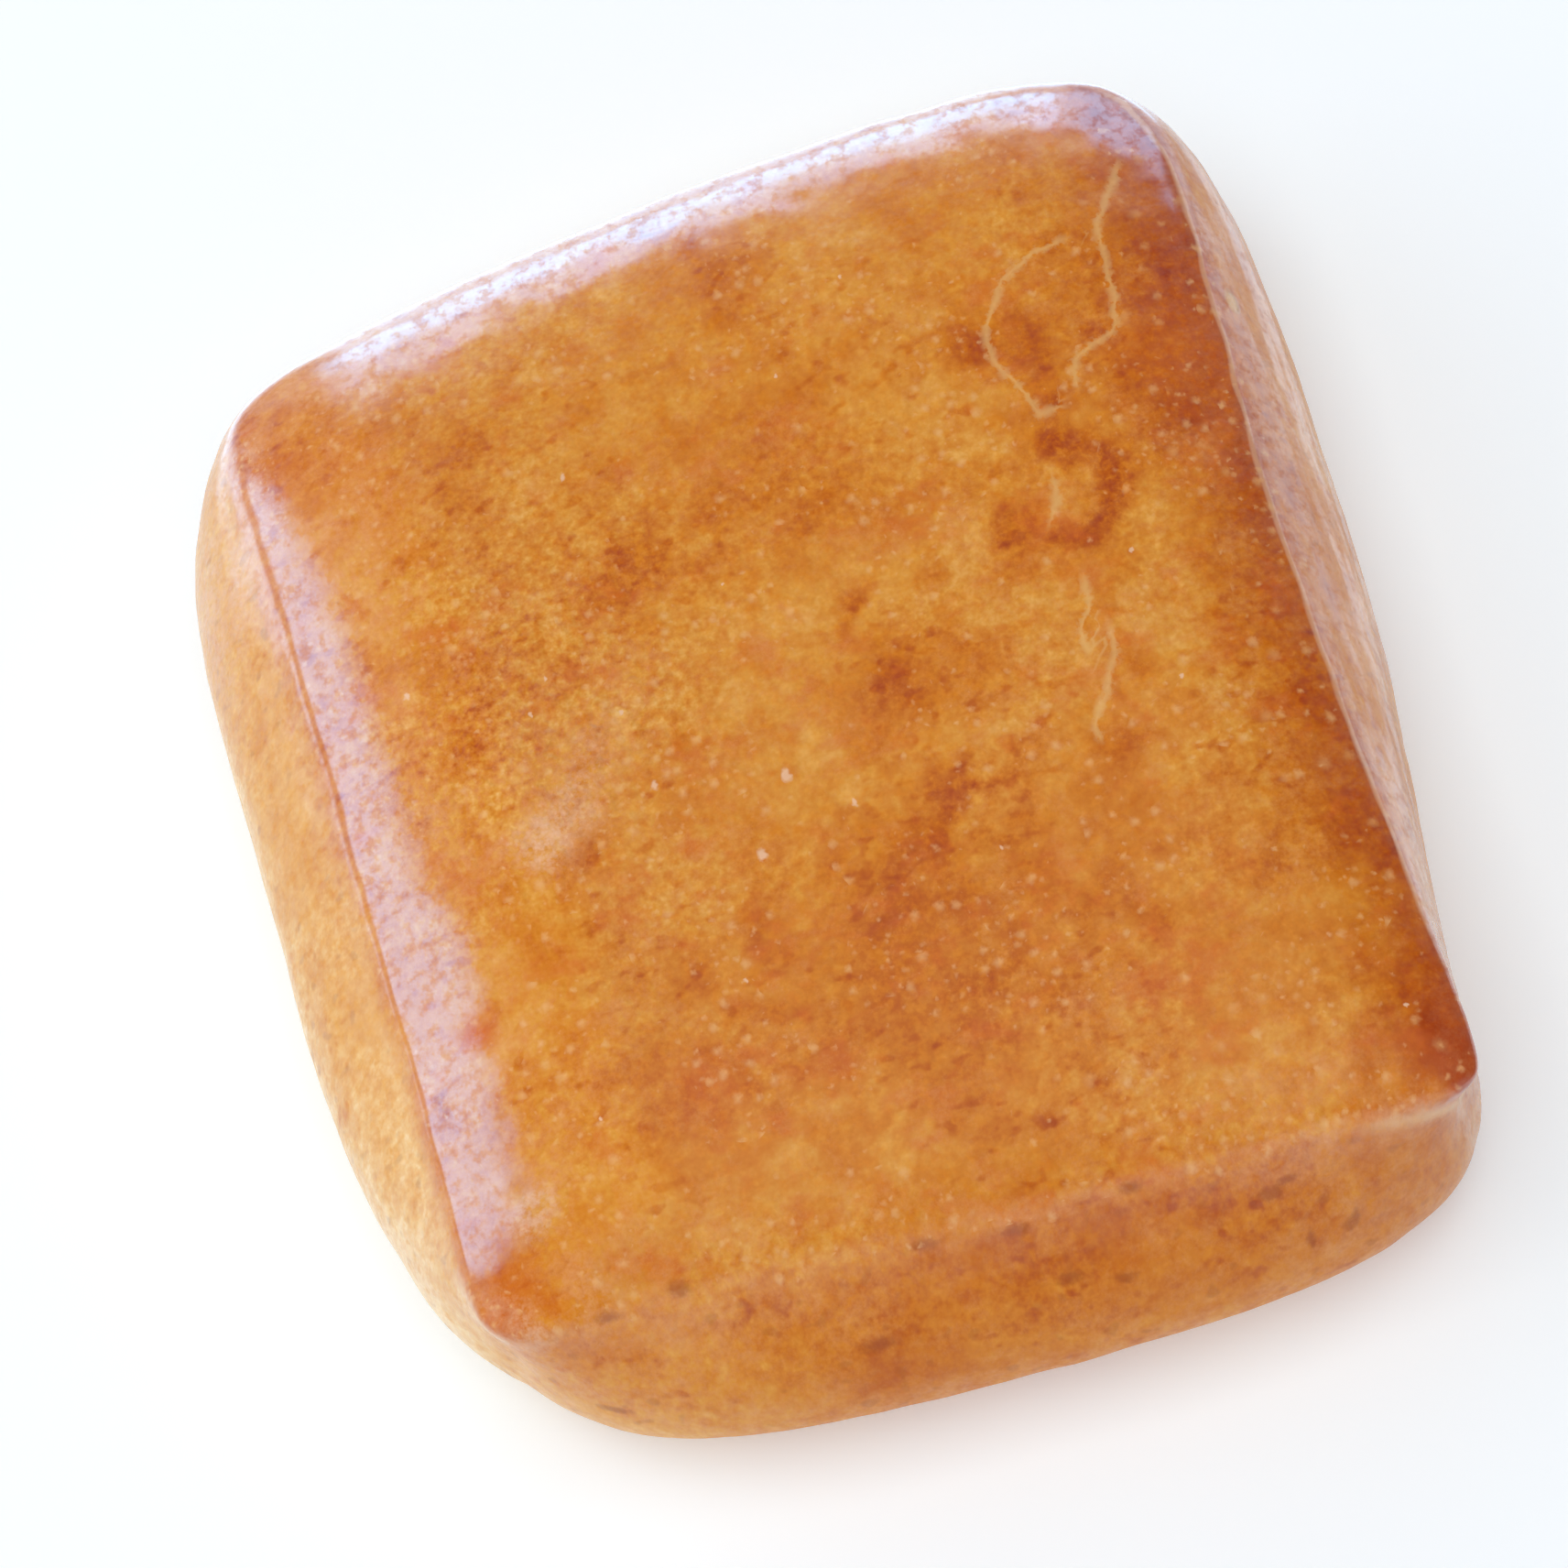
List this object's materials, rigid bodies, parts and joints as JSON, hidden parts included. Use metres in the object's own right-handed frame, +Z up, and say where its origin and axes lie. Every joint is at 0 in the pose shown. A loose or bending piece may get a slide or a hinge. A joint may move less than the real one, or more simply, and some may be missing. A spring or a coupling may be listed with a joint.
{
  "type": "bread roll",
  "caption": "Square bread roll with a glazed golden-brown top, a ridge round its edge, swollen paler sides and a flat base.",
  "frame": {"origin": "centre of the roll's box, at the height of the flat base that it rests on", "axes": "+Z up, +Y along the roll's longer side towards its far edge, +X towards its right side"},
  "size_m": [0.1026, 0.1126, 0.035],
  "materials": {
    "glazed_crust": null
  },
  "bodies": {
    "root": {"bread_roll": "glazed_crust"}
  },
  "joints": []
}
